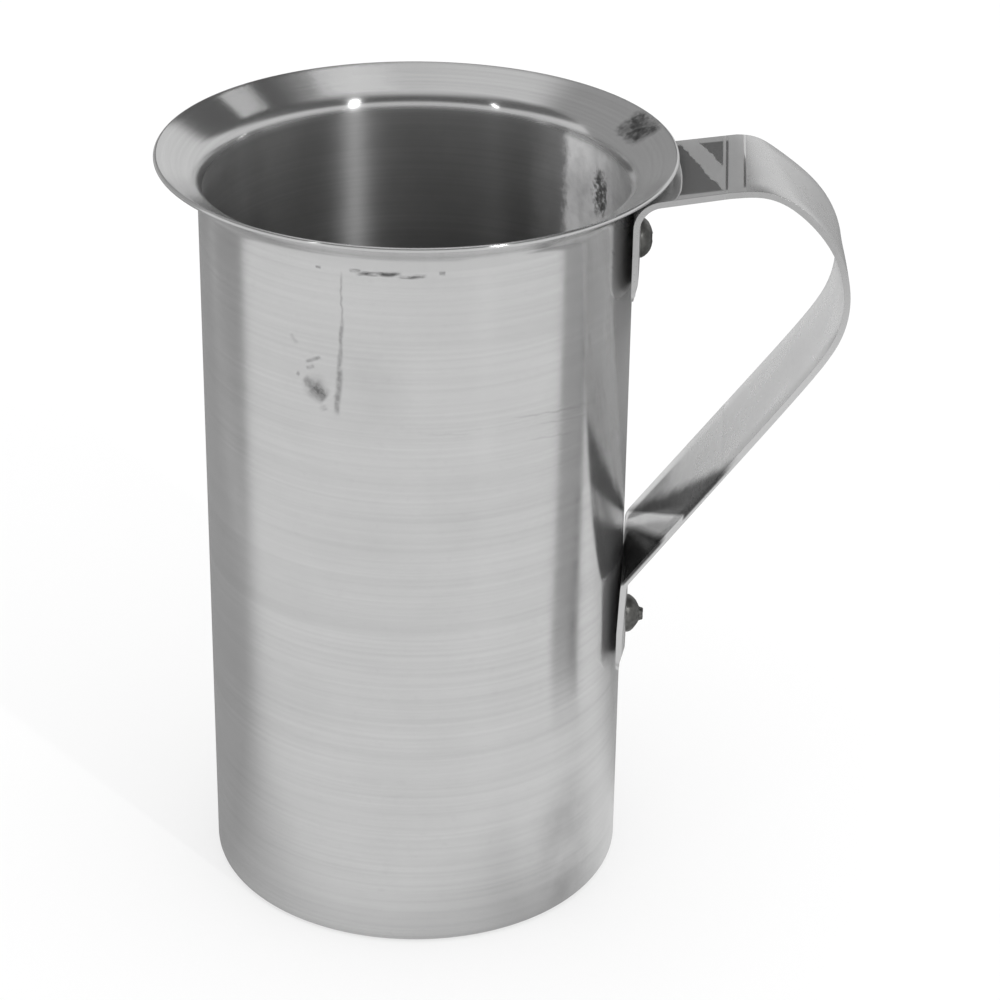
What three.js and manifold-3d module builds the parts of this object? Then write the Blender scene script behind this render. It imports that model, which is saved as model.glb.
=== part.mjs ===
// A one-litre aluminium wine jug: a drawn vessel with a flared rim, and a strap handle held by two rivets.
// Millimetres, +Z up. The origin is the middle of the base, and the handle points along +X.
import * as THREE from "three";
import { mergeVertices } from "three/addons/utils/BufferGeometryUtils.js";
import Module from "manifold-3d";

// Vessel
const BODY_RADIUS = 45;
const BODY_HEIGHT = 165.5;
const WALL = 1;
const BASE_CORNER_RADIUS = 2;
const RIM_RADIUS = 53.7;
const FLARE_SLOPE = 30;
const FLARE_BEND_RADIUS = 4;

// Handle strap
const STRAP_WIDTH = 30;
const STRAP_THICKNESS = 1.6;
const UPPER_TAB_LENGTH = 22.1;
const LOWER_TAB_LENGTH = 23.3;
const TAB_CORNER_RADIUS = 4;
const UPPER_BEND_RADIUS = 5.7;
const TOP_RUN_LENGTH = 24.7;
const TOP_RUN_RISE = 11.3;
const CROWN_BEND_RADIUS = 9.9;
const SHOULDER_LENGTH = 34;
const SHOULDER_FALL = 39.7;
const SHOULDER_BEND_RADIUS = 21.3;
const LOOP_HEIGHT = 85.8;
const LOWER_BEND_RADIUS = 4;

// Rivets
const SHANK_RADIUS = 2.5;
const HEAD_RADIUS = 4.25;
const HEAD_HEIGHT = 3.1;
const SET_HEAD_RADIUS = 3.8;
const SET_HEAD_HEIGHT = 1.6;
const UPPER_RIVET_INSET = 9.4;
const LOWER_RIVET_INSET = 7.6;

// Clearances
const SEAT_GAP = 0.3;
const HOLE_GAP = 0.25;
const CUT_MARGIN = 2;

// Facets
const BODY_SEGMENTS = 72;
const RIVET_SEGMENTS = 32;
const HOLE_SEGMENTS = 32;
const CHORD_ERROR = 0.03;

const wasm = await Module();
wasm.setup();

const radians = THREE.MathUtils.degToRad;

// Direction at an angle in degrees, in the plane of a profile
function heading(angle) {
  return new THREE.Vector2(Math.cos(radians(angle)), Math.sin(radians(angle)));
}

// Points on an arc about a centre, from one angle to another in degrees, both ends included
function arc(centre, radius, start, end) {
  const step = THREE.MathUtils.radToDeg(2 * Math.acos(1 - CHORD_ERROR / radius));
  const steps = Math.max(1, Math.ceil(Math.abs(end - start) / step));
  const points = [];
  for (let i = 0; i <= steps; i += 1) {
    const angle = start + ((end - start) * i) / steps;
    points.push(heading(angle).multiplyScalar(radius).add(centre));
  }
  return points;
}

function toSolid(geometry) {
  const bare = geometry.index ? geometry.toNonIndexed() : geometry.clone();
  bare.deleteAttribute("normal");
  bare.deleteAttribute("uv");
  const merged = mergeVertices(bare);
  const mesh = new wasm.Mesh({
    numProp: 3,
    vertProperties: new Float32Array(merged.attributes.position.array),
    triVerts: new Uint32Array(merged.index.array),
  });
  return new wasm.Manifold(mesh);
}

function toGeometry(solid) {
  const mesh = solid.getMesh();
  const geometry = new THREE.BufferGeometry();
  geometry.setAttribute("position", new THREE.BufferAttribute(mesh.vertProperties, 3));
  geometry.setIndex(new THREE.BufferAttribute(mesh.triVerts, 1));
  geometry.computeVertexNormals();
  return geometry;
}

function aluminium(name, geometry, color, roughness) {
  const material = new THREE.MeshStandardMaterial({ color, roughness, metalness: 1 });
  const mesh = new THREE.Mesh(geometry, material);
  mesh.name = name;
  return mesh;
}

// Places where the pieces meet
const insideRadius = BODY_RADIUS - WALL;
const rimTip = new THREE.Vector2(RIM_RADIUS - WALL / 2, BODY_HEIGHT - WALL / 2);
const flareTurn = 90 - FLARE_SLOPE;
const flareStart = flareBendHeight();
const flareCentre = new THREE.Vector2(BODY_RADIUS + FLARE_BEND_RADIUS, flareStart);
const strapInnerFace = BODY_RADIUS + SEAT_GAP;
const strapOuterFace = strapInnerFace + STRAP_THICKNESS;
const strapCorners = strapCentreLine();
const upperRivetHeight = strapCorners[0].point.y + UPPER_RIVET_INSET;
const lowerRivetHeight = strapCorners[strapCorners.length - 1].point.y + LOWER_RIVET_INSET;

// Height where the wall starts to bend outward, so that the rim comes out at its height and radius
function flareBendHeight() {
  const middleRadius = FLARE_BEND_RADIUS + WALL / 2;
  const bendEndRadius = BODY_RADIUS + FLARE_BEND_RADIUS - middleRadius * Math.cos(radians(flareTurn));
  const bendRise = middleRadius * Math.sin(radians(flareTurn));
  const coneRise = (rimTip.x - bendEndRadius) * Math.tan(radians(FLARE_SLOPE));
  return rimTip.y - coneRise - bendRise;
}

// Height of the centre of the strap's upper bend, whose outer face touches the underside of the flare's cone
function upperBendCentreHeight() {
  const outerRadius = UPPER_BEND_RADIUS + STRAP_THICKNESS / 2;
  const coneGap = outerRadius + SEAT_GAP + WALL / 2;
  const fromTip = rimTip.x - (strapInnerFace + outerRadius);
  return rimTip.y - fromTip * Math.tan(radians(FLARE_SLOPE)) - coneGap / Math.cos(radians(FLARE_SLOPE));
}

// Corners of the strap's middle line in the X-Z plane, from the upper tab's end to the lower tab's end.
// The upper bend nests under the flare, and the grip runs from the shoulder back to the wall.
function strapCentreLine() {
  const middle = strapInnerFace + STRAP_THICKNESS / 2;
  const upperSetback = UPPER_BEND_RADIUS * Math.tan(radians((90 - TOP_RUN_RISE) / 2));
  const upperBend = new THREE.Vector2(middle, upperBendCentreHeight() + upperSetback);
  const upperEnd = new THREE.Vector2(middle, upperBend.y - UPPER_TAB_LENGTH);
  const crown = heading(TOP_RUN_RISE).multiplyScalar(TOP_RUN_LENGTH).add(upperBend);
  const shoulder = heading(-SHOULDER_FALL).multiplyScalar(SHOULDER_LENGTH).add(crown);
  const lowerBend = new THREE.Vector2(middle, upperBend.y - LOOP_HEIGHT);
  const lowerEnd = new THREE.Vector2(middle, lowerBend.y - LOWER_TAB_LENGTH);
  return [
    { point: upperEnd, radius: 0 },
    { point: upperBend, radius: UPPER_BEND_RADIUS },
    { point: crown, radius: CROWN_BEND_RADIUS },
    { point: shoulder, radius: SHOULDER_BEND_RADIUS },
    { point: lowerBend, radius: LOWER_BEND_RADIUS },
    { point: lowerEnd, radius: 0 },
  ];
}

// Both faces of a strip whose middle line has rounded corners: left and right of its direction of travel
function stripFaces(corners, thickness) {
  const half = thickness / 2;
  const left = [];
  const right = [];
  corners.forEach((corner, i) => {
    const before = corners[i - 1] ?? corner;
    const after = corners[i + 1] ?? corner;
    const arriving = corner.point.clone().sub(before.point).normalize();
    const leaving = after.point.clone().sub(corner.point).normalize();
    if (corner.radius === 0) {
      const along = i === 0 ? leaving : arriving;
      const side = new THREE.Vector2(-along.y, along.x).multiplyScalar(half);
      left.push(corner.point.clone().add(side));
      right.push(corner.point.clone().sub(side));
      return;
    }
    const turn = Math.atan2(arriving.cross(leaving), arriving.dot(leaving));
    const hand = Math.sign(turn);
    const toCentre = new THREE.Vector2(-arriving.y, arriving.x).multiplyScalar(hand);
    const setback = corner.radius * Math.tan(Math.abs(turn) / 2);
    const start = arriving.clone().multiplyScalar(-setback).add(corner.point);
    const centre = toCentre.clone().multiplyScalar(corner.radius).add(start);
    const from = THREE.MathUtils.radToDeg(Math.atan2(-toCentre.y, -toCentre.x));
    const to = from + THREE.MathUtils.radToDeg(turn);
    left.push(...arc(centre, corner.radius - hand * half, from, to));
    right.push(...arc(centre, corner.radius + hand * half, from, to));
  });
  return { left, right };
}

// A round bar along +X through both the wall and the strap, at the height of a rivet
function rivetHole(height) {
  const length = strapOuterFace - insideRadius + 2 * CUT_MARGIN + WALL;
  const bar = new THREE.CylinderGeometry(SHANK_RADIUS + HOLE_GAP, SHANK_RADIUS + HOLE_GAP, length, HOLE_SEGMENTS);
  bar.rotateZ(-Math.PI / 2);
  bar.translate((insideRadius + strapOuterFace) / 2, 0, height);
  return toSolid(bar);
}

function bodyShell() {
  const outside = [
    new THREE.Vector2(0, 0),
    ...arc(
      new THREE.Vector2(BODY_RADIUS - BASE_CORNER_RADIUS, BASE_CORNER_RADIUS),
      BASE_CORNER_RADIUS,
      -90,
      0,
    ),
    ...arc(flareCentre, FLARE_BEND_RADIUS, 180, 180 - flareTurn),
  ];
  const rimEdge = arc(rimTip, WALL / 2, FLARE_SLOPE - 90, FLARE_SLOPE + 90);
  const cornerInside = Math.max(BASE_CORNER_RADIUS - WALL, WALL / 2);
  const inside = [
    ...arc(flareCentre, FLARE_BEND_RADIUS + WALL, 180 - flareTurn, 180),
    ...arc(new THREE.Vector2(insideRadius - cornerInside, WALL + cornerInside), cornerInside, 0, -90),
    new THREE.Vector2(0, WALL),
  ];
  const vessel = new THREE.LatheGeometry([...outside, ...rimEdge, ...inside], BODY_SEGMENTS);
  vessel.rotateX(Math.PI / 2);
  const drilled = toSolid(vessel)
    .subtract(rivetHole(upperRivetHeight))
    .subtract(rivetHole(lowerRivetHeight));
  return aluminium("body_shell", toGeometry(drilled), 0xc6c7c8, 0.3);
}

// What is cut away to round one corner of a tab: a notch with an arc, extruded through the strip along X
function tabCornerCut(endHeight, side) {
  const notch = new THREE.Shape();
  notch.moveTo(-CUT_MARGIN, -CUT_MARGIN);
  notch.lineTo(TAB_CORNER_RADIUS, -CUT_MARGIN);
  const middle = new THREE.Vector2(TAB_CORNER_RADIUS, TAB_CORNER_RADIUS);
  arc(middle, TAB_CORNER_RADIUS, -90, -180).forEach((point) => notch.lineTo(point.x, point.y));
  notch.lineTo(-CUT_MARGIN, TAB_CORNER_RADIUS);
  const depth = STRAP_THICKNESS + 2 * CUT_MARGIN;
  const cut = new THREE.ExtrudeGeometry(notch, { depth, bevelEnabled: false });
  const across = new THREE.Vector3(0, -side, 0);
  const up = new THREE.Vector3(0, 0, 1);
  const through = new THREE.Vector3(-side, 0, 0);
  cut.applyMatrix4(new THREE.Matrix4().makeBasis(across, up, through));
  const farFace = side > 0 ? strapOuterFace + CUT_MARGIN : strapInnerFace - CUT_MARGIN;
  cut.translate(farFace, (side * STRAP_WIDTH) / 2, endHeight);
  return toSolid(cut);
}

function handleStrap() {
  const { left, right } = stripFaces(strapCorners, STRAP_THICKNESS);
  const outline = new THREE.Shape([...left, ...right.reverse()]);
  const strip = new THREE.ExtrudeGeometry(outline, { depth: STRAP_WIDTH, bevelEnabled: false });
  strip.rotateX(Math.PI / 2);
  strip.translate(0, STRAP_WIDTH / 2, 0);
  let solid = toSolid(strip);
  const tabEnds = [strapCorners[0].point.y, strapCorners[strapCorners.length - 1].point.y];
  for (const endHeight of tabEnds) {
    for (const side of [1, -1]) {
      solid = solid.subtract(tabCornerCut(endHeight, side));
    }
  }
  for (const height of [upperRivetHeight, lowerRivetHeight]) {
    solid = solid.subtract(rivetHole(height));
  }
  return aluminium("handle_strap", toGeometry(solid), 0xc2c3c4, 0.35);
}

// A solid rivet along +X: domed head on the strap, shank through strap and wall, low set head inside
function rivet(name, height) {
  const headSeat = strapOuterFace + SEAT_GAP;
  const setSeat = Math.sqrt(insideRadius ** 2 - SET_HEAD_RADIUS ** 2) - SEAT_GAP;
  const domeRadius = (HEAD_RADIUS ** 2 + HEAD_HEIGHT ** 2) / (2 * HEAD_HEIGHT);
  const domeCentre = new THREE.Vector2(0, headSeat + HEAD_HEIGHT - domeRadius);
  const domeStart = THREE.MathUtils.radToDeg(Math.atan2(headSeat - domeCentre.y, HEAD_RADIUS));
  const setEdge = SET_HEAD_HEIGHT / 2;
  const profile = [
    new THREE.Vector2(0, setSeat - SET_HEAD_HEIGHT),
    ...arc(new THREE.Vector2(SET_HEAD_RADIUS - setEdge, setSeat - setEdge), setEdge, -90, 0),
    new THREE.Vector2(SET_HEAD_RADIUS, setSeat),
    new THREE.Vector2(SHANK_RADIUS, setSeat),
    new THREE.Vector2(SHANK_RADIUS, headSeat),
    ...arc(domeCentre, domeRadius, domeStart, 90),
  ];
  profile[profile.length - 1].setX(0);
  const geometry = new THREE.LatheGeometry(profile, RIVET_SEGMENTS);
  geometry.rotateZ(-Math.PI / 2);
  geometry.translate(0, 0, height);
  return aluminium(name, geometry, 0x9a9b9d, 0.4);
}

const jug = new THREE.Group();
jug.add(bodyShell());
jug.add(handleStrap());
jug.add(rivet("upper_rivet", upperRivetHeight));
jug.add(rivet("lower_rivet", lowerRivetHeight));

export default jug;
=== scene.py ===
"""An aluminium wine jug: a spun vessel with a flared rim, a bent strap handle and two rivets."""
import math

import bpy
from mathutils import Matrix, Vector


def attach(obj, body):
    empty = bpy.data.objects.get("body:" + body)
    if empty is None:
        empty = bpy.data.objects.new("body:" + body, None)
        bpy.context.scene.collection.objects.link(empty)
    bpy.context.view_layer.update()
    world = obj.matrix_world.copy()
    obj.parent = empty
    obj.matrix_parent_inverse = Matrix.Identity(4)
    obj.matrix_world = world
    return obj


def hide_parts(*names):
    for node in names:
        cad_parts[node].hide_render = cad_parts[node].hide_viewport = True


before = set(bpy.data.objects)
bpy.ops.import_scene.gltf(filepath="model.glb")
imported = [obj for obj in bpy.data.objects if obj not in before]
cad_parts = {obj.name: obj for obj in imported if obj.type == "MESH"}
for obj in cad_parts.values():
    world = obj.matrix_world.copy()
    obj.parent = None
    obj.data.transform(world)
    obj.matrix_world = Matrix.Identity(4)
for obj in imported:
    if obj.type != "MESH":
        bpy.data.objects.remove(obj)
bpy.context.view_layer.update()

# Vessel, metres
BODY_RADIUS = 0.045
BODY_HEIGHT = 0.1655
WALL = 0.001
BASE_MIDDLE = 0.004
BASE_CORNER = 0.002
RIM_RADIUS = 0.0537
RIM_EDGE = WALL * 0.42
FLARE_SLOPE = math.radians(30)
FLARE_BEND = 0.004
VESSEL_SIDES = 192

# Strap: the middle of the strip, as (out from the axis, height)
STRAP_WIDTH = 0.030
STRAP_THICKNESS = 0.0013
STRAP_EDGE = 0.0005
UPPER_SEAT = 0.0457
LOWER_SEAT = 0.0456
UPPER_TAB_END = (UPPER_SEAT, 0.1383)
LOWER_TAB_END = (LOWER_SEAT, 0.0513)
TAB_NOSE = 0.005
TAB_CORNER = 0.004
STRIP_CUTS = 6
LOOP_START = 0.0655
# Thinning of a tab towards its end, as (reach from the end, depth)
NOSE_STEPS = ((0.0004, 0.0012), (0.0021, 0.0008), (0.0042, 0.0004))
# How far the sides of the lower tab are pressed back, and the heights below which that is done in two steps
LOWER_TAB_PRESS = 0.0005
LOWER_TAB_TOPS = (0.0700, 0.0645)

# Bends of the strap's two edges, hand bent and not quite square: corner of the middle line, radius, steps
NEAR_EDGE_BENDS = [
    ((UPPER_SEAT, 0.1600), 0.0057, 10),
    ((0.0732, 0.1651), 0.0135, 14),
    ((0.0973, 0.1445), 0.0230, 24),
    ((LOWER_SEAT, 0.0738), 0.0040, 10),
]
FAR_EDGE_BENDS = [
    ((UPPER_SEAT, 0.1617), 0.0057, 10),
    ((0.0689, 0.1653), 0.0090, 14),
    ((0.0975, 0.1449), 0.0222, 24),
    ((LOWER_SEAT, 0.0757), 0.0040, 10),
]
RUN_STEPS = [3, 6, 6, 14, 3]

# Rivets: outlines as (radius, reach), from the strap outwards and from the inside of the wall inwards
SHANK_RADIUS = 0.0025
SET_HEAD_RADIUS = 0.0038
SET_HEAD_REACH = 0.0016
SET_HEAD_MIDDLE = 0.0008
SET_SEAT = 0.04396
HEAD_SINK = 0.00005
HAMMERED_ABOVE = 0.0002
HAMMER_DENT = 0.00022
RIVET_SIDES = 48
DOMED_HEAD = [
    (0.0042, 0.0),
    (0.0042, 0.0003),
    (0.0039, 0.0010),
    (0.0033, 0.0016),
    (0.0025, 0.0021),
    (0.0015, 0.0024),
    (0.0007, 0.0025),
]
NUBBED_HEAD = [
    (0.0042, 0.0),
    (0.0042, 0.0004),
    (0.0039, 0.0010),
    (0.0034, 0.0016),
    (0.0028, 0.0021),
    (0.0021, 0.0025),
    (0.0015, 0.0027),
    (0.0014, 0.0030),
    (0.0014, 0.0034),
    (0.0011, 0.0037),
]
RIVETS = {
    "upper_rivet": (UPPER_SEAT, 0.1477, DOMED_HEAD, 4),
    "lower_rivet": (LOWER_SEAT, 0.0589, NUBBED_HEAD, 9),
}


def start_piece():
    """Nothing is selected or active, so that operators act on the next piece alone."""
    bpy.ops.object.select_all(action="DESELECT")
    bpy.context.view_layer.objects.active = None


def name_piece(name):
    piece = bpy.context.active_object
    piece.name = name
    piece.data.name = name
    return piece


def finish_modifier(piece, kind, **settings):
    modifier = piece.modifiers.new(kind.lower(), kind)
    for setting, value in settings.items():
        setattr(modifier, setting, value)
    bpy.ops.object.modifier_apply(modifier=modifier.name)


def pick(piece, domain, wanted):
    """Selects, in edit mode, the vertices or edges whose mean place passes a test."""
    bpy.ops.mesh.select_mode(type={"vertices": "VERT", "edges": "EDGE"}[domain])
    bpy.ops.mesh.select_all(action="DESELECT")
    bpy.ops.object.mode_set(mode="OBJECT")
    points = [vertex.co.copy() for vertex in piece.data.vertices]
    for element in getattr(piece.data, domain):
        corners = [element.index] if domain == "vertices" else element.vertices
        middle = sum((points[i] for i in corners), Vector()) / len(corners)
        element.select = wanted(middle)
    bpy.ops.object.mode_set(mode="EDIT")


def arc(centre, radius, start, end, steps):
    """Points on an arc, both ends included; angles in degrees from the first axis."""
    turns = [math.radians(start + (end - start) * i / steps) for i in range(steps + 1)]
    return [(centre[0] + radius * math.cos(t), centre[1] + radius * math.sin(t)) for t in turns]


def run(start, end, steps):
    """Points from start to end in equal steps, without the start."""
    return [
        tuple(a + (b - a) * i / steps for a, b in zip(start, end))
        for i in range(1, steps + 1)
    ]


def grow_rings(outline, axis):
    """Extrudes the selected ring of edges along an outline of (radius, reach along the axis)."""
    for (radius, reach), (next_radius, next_reach) in zip(outline, outline[1:]):
        step = [0.0, 0.0, 0.0]
        step[axis] = next_reach - reach
        bpy.ops.mesh.extrude_edges_move(TRANSFORM_OT_translate={"value": step})
        swell = [next_radius / radius] * 3
        swell[axis] = 1.0
        bpy.ops.transform.resize(value=swell, center_override=(0.0, 0.0, 0.0))


def vessel_outline():
    """Outside of the vessel from the middle of the base to the rim, as (radius, height)."""
    middle_bend = FLARE_BEND + WALL / 2
    tip = (RIM_RADIUS - WALL / 2, BODY_HEIGHT - WALL / 2)
    turn = math.pi / 2 - FLARE_SLOPE
    bend_end = BODY_RADIUS + FLARE_BEND - middle_bend * math.cos(turn)
    flare_start = tip[1] - (tip[0] - bend_end) * math.tan(FLARE_SLOPE) - middle_bend * math.sin(turn)
    corner = arc((BODY_RADIUS - BASE_CORNER, BASE_CORNER), BASE_CORNER, -90, 0, 8)
    bend = arc((BODY_RADIUS + FLARE_BEND, flare_start), FLARE_BEND, 180, 180 - math.degrees(turn), 10)
    lengthwise = Vector((math.cos(FLARE_SLOPE), math.sin(FLARE_SLOPE))) * WALL / 2
    edge = (tip[0] + lengthwise.y + lengthwise.x, tip[1] - lengthwise.x + lengthwise.y)
    base = [(BASE_MIDDLE, 0.0)]
    base += run(base[-1], corner[0], 8)
    return base + corner[1:] + run(corner[-1], bend[0], 64) + bend[1:] + run(bend[-1], edge, 6)


def make_vessel(outside, inside):
    start_piece()
    outline = vessel_outline()
    bpy.ops.mesh.primitive_circle_add(vertices=VESSEL_SIDES, radius=outline[0][0], fill_type="TRIFAN")
    vessel = name_piece("spun_vessel")
    vessel.data.materials.append(outside)
    vessel.data.materials.append(inside)
    bpy.ops.object.mode_set(mode="EDIT")
    pick(vessel, "edges", lambda middle: middle.length > outline[0][0] * 0.9)
    grow_rings(outline, 2)
    bpy.ops.mesh.select_all(action="SELECT")
    bpy.ops.mesh.normals_make_consistent(inside=False)
    bpy.ops.object.mode_set(mode="OBJECT")
    if vessel.data.polygons[0].normal.z > 0.0:
        vessel.data.flip_normals()
    finish_modifier(
        vessel, "SOLIDIFY", thickness=WALL, offset=-1.0, use_even_offset=True, material_offset=1
    )
    finish_modifier(
        vessel, "BEVEL", width=RIM_EDGE, segments=4, limit_method="ANGLE", angle_limit=math.radians(60)
    )
    bpy.ops.object.shade_smooth_by_angle(angle=math.radians(35))
    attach(vessel, "root")
    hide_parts("body_shell")


def extrude_run(way, steps):
    for _ in range(steps):
        bpy.ops.mesh.extrude_vertices_move(
            TRANSFORM_OT_translate={"value": (way.x / steps, 0.0, way.y / steps)}
        )


def draw_strap_edge(bends, across):
    """Draws one edge of the strip from the selected vertex: straight runs extruded, bends spun."""
    corners = [UPPER_TAB_END] + [bend[0] for bend in bends] + [LOWER_TAB_END]
    here = Vector(UPPER_TAB_END)
    first = here + (Vector(corners[1]) - here).normalized() * TAB_NOSE
    extrude_run(first - here, 1)
    here = first
    for number, (corner, radius, steps) in enumerate(bends):
        corner = Vector(corner)
        arriving = (corner - Vector(corners[number])).normalized()
        leaving = (Vector(corners[number + 2]) - corner).normalized()
        turn = math.atan2(arriving.cross(leaving), arriving.dot(leaving))
        setback = radius * math.tan(abs(turn) / 2)
        start = corner - arriving * setback
        extrude_run(start - here, RUN_STEPS[number])
        centre = start + Vector((-arriving.y, arriving.x)) * math.copysign(radius, turn)
        bpy.ops.mesh.spin(
            steps=steps, angle=turn, center=(centre.x, across, centre.y), axis=(0.0, 1.0, 0.0)
        )
        here = corner + leaving * setback
    last = Vector(LOWER_TAB_END)
    nose = last + Vector((0.0, TAB_NOSE))
    extrude_run(nose - here, RUN_STEPS[-1])
    extrude_run(last - nose, 1)


def press_lower_tab(strap):
    """Pulls the sides of the lower tab towards the round wall, more at the edges than in the middle."""
    half = STRAP_WIDTH / 2
    for cut in range(3):
        column = 1.0 - 2 * cut / (STRIP_CUTS + 1)
        for below in LOWER_TAB_TOPS:
            pick(
                strap,
                "vertices",
                lambda place: abs(abs(place.y) - half * column) < 1e-4 and place.z < below,
            )
            bpy.ops.transform.translate(value=(-LOWER_TAB_PRESS * column ** 2 / 2, 0.0, 0.0))


def thin_nose(strap, tab_end, press):
    """Hammers the outer face of a tab thinner towards its end."""
    seat, end = tab_end
    half = STRAP_WIDTH / 2
    above = 0.0
    for reach, depth in NOSE_STEPS:
        pick(
            strap,
            "vertices",
            lambda place: above - 1e-5 <= place.z - end < reach
            and place.x > seat - press * (place.y / half) ** 2
            and place.x < seat + STRAP_THICKNESS,
        )
        bpy.ops.transform.translate(value=(-depth, 0.0, 0.0))
        above = reach


def make_strap(metal):
    start_piece()
    bpy.ops.mesh.primitive_plane_add(size=STRAP_WIDTH, location=(UPPER_TAB_END[0], 0.0, UPPER_TAB_END[1]))
    strap = name_piece("bent_strap")
    bpy.ops.object.transform_apply(location=True, rotation=True, scale=True)
    strap.data.materials.append(metal)
    bpy.ops.object.mode_set(mode="EDIT")
    bpy.ops.mesh.delete(type="ONLY_FACE")
    half = STRAP_WIDTH / 2
    pick(strap, "edges", lambda middle: abs(middle.y) < 1e-6)
    bpy.ops.mesh.delete(type="EDGE")
    for across, bends in ((-half, NEAR_EDGE_BENDS), (half, FAR_EDGE_BENDS)):
        pick(strap, "vertices", lambda place: abs(place.y - across) < 1e-6)
        bpy.ops.mesh.merge(type="CENTER")
        draw_strap_edge(bends, across)
    pick(strap, "vertices", lambda place: place.x > LOOP_START)
    bpy.ops.mesh.vertices_smooth(factor=0.5, repeat=16)
    bpy.ops.mesh.select_mode(type="EDGE")
    bpy.ops.mesh.select_all(action="SELECT")
    bpy.ops.mesh.bridge_edge_loops(number_cuts=STRIP_CUTS)
    bpy.ops.mesh.select_all(action="SELECT")
    bpy.ops.mesh.normals_make_consistent(inside=False)
    press_lower_tab(strap)
    ends = (UPPER_TAB_END[1], LOWER_TAB_END[1])
    pick(
        strap,
        "vertices",
        lambda place: abs(abs(place.y) - half) < 1e-6
        and place.x < UPPER_SEAT + 1e-5
        and min(abs(place.z - end) for end in ends) < 1e-6,
    )
    bpy.ops.mesh.bevel(affect="VERTICES", offset=TAB_CORNER, segments=8)
    bpy.ops.object.mode_set(mode="OBJECT")
    finish_modifier(strap, "SOLIDIFY", thickness=STRAP_THICKNESS, offset=0.0, use_even_offset=True)
    bpy.ops.object.mode_set(mode="EDIT")
    thin_nose(strap, UPPER_TAB_END, 0.0)
    thin_nose(strap, LOWER_TAB_END, LOWER_TAB_PRESS)
    bpy.ops.object.mode_set(mode="OBJECT")
    finish_modifier(
        strap, "BEVEL", width=STRAP_EDGE, segments=4, limit_method="ANGLE", angle_limit=math.radians(40)
    )
    bpy.ops.object.shade_smooth_by_angle(angle=math.radians(35))
    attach(strap, "root")
    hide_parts("handle_strap")


def rivet_outline(head_seat, head):
    """From the middle of the set head inside the wall, over the shank, to the top of the hammered head."""
    edge = SET_HEAD_REACH / 2
    set_head = arc((SET_HEAD_RADIUS - edge, SET_SEAT - edge), edge, -90, 60, 8)
    shank = [(SHANK_RADIUS, SET_SEAT), (SHANK_RADIUS, head_seat)]
    hammered = [(radius, head_seat + reach) for radius, reach in head]
    return [(SET_HEAD_MIDDLE, set_head[0][1])] + set_head + shank + hammered


def make_rivet(node, metal):
    seat, height, head, seed = RIVETS[node]
    head_seat = seat + STRAP_THICKNESS / 2 - HEAD_SINK
    start_piece()
    outline = rivet_outline(head_seat, head)
    bpy.ops.mesh.primitive_circle_add(
        vertices=RIVET_SIDES,
        radius=outline[0][0],
        fill_type="TRIFAN",
        location=(outline[0][1], 0.0, 0.0),
        rotation=(0.0, math.radians(90), 0.0),
    )
    rivet = name_piece(node + "_hammered")
    bpy.ops.object.transform_apply(location=True, rotation=True, scale=True)
    rivet.data.materials.append(metal)
    bpy.ops.object.mode_set(mode="EDIT")
    pick(rivet, "edges", lambda middle: math.hypot(middle.y, middle.z) > outline[0][0] * 0.9)
    grow_rings(outline, 0)
    bpy.ops.mesh.edge_face_add()
    bpy.ops.mesh.select_all(action="SELECT")
    bpy.ops.mesh.normals_make_consistent(inside=False)
    pick(rivet, "vertices", lambda place: place.x > head_seat + HAMMERED_ABOVE)
    bpy.ops.transform.vertex_random(offset=HAMMER_DENT, uniform=0.6, normal=0.4, seed=seed)
    bpy.ops.mesh.vertices_smooth(factor=0.5, repeat=2)
    bpy.ops.mesh.select_all(action="SELECT")
    bpy.ops.transform.translate(value=(0.0, 0.0, height))
    bpy.ops.object.mode_set(mode="OBJECT")
    bpy.ops.object.shade_smooth_by_angle(angle=math.radians(40))
    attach(rivet, "root")
    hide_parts(node)


# Nodes that the materials share


def add(tree, kind, **sockets):
    """Adds a node and sets its plain values: settings in lower case, input sockets by their name."""
    node = tree.nodes.new(kind)
    for name, value in sockets.items():
        if name[0].isupper():
            node.inputs[name].default_value = value
        else:
            setattr(node, name, value)
    return node


def feed(tree, socket, value):
    if isinstance(value, bpy.types.NodeSocket):
        tree.links.new(value, socket)
    else:
        socket.default_value = value


def calculate(tree, operation, first, second=0.0):
    node = add(tree, "ShaderNodeMath", operation=operation)
    for socket, value in zip(node.inputs, (first, second)):
        feed(tree, socket, value)
    return node.outputs[0]


def plus(tree, first, second):
    return calculate(tree, "ADD", first, second)


def times(tree, first, second):
    return calculate(tree, "MULTIPLY", first, second)


def larger(tree, first, second):
    return calculate(tree, "MAXIMUM", first, second)


def without(tree, value, mark):
    """A value, taken away where a mark is 1."""
    return times(tree, value, calculate(tree, "SUBTRACT", 1.0, mark))


def spread(tree, value, low, high, to_low=0.0, to_high=1.0):
    """Maps a value from one range to another, clamped."""
    node = add(tree, "ShaderNodeMapRange", clamp=True)
    for socket, number in zip(node.inputs, (value, low, high, to_low, to_high)):
        feed(tree, socket, number)
    return node.outputs[0]


def ease(tree, value, low, high, to_low=0.0, to_high=1.0):
    """Maps a value from one range to another, clamped, with soft ends."""
    mapped = spread(tree, value, low, high, to_low, to_high)
    mapped.node.interpolation_type = "SMOOTHSTEP"
    return mapped


def patch(tree, value, middle, reach, soft):
    """1 within reach of a middle value, falling to 0 over a soft edge."""
    off = calculate(tree, "ABSOLUTE", calculate(tree, "SUBTRACT", value, middle))
    return ease(tree, off, reach, reach + soft, 1.0, 0.0)


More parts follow.
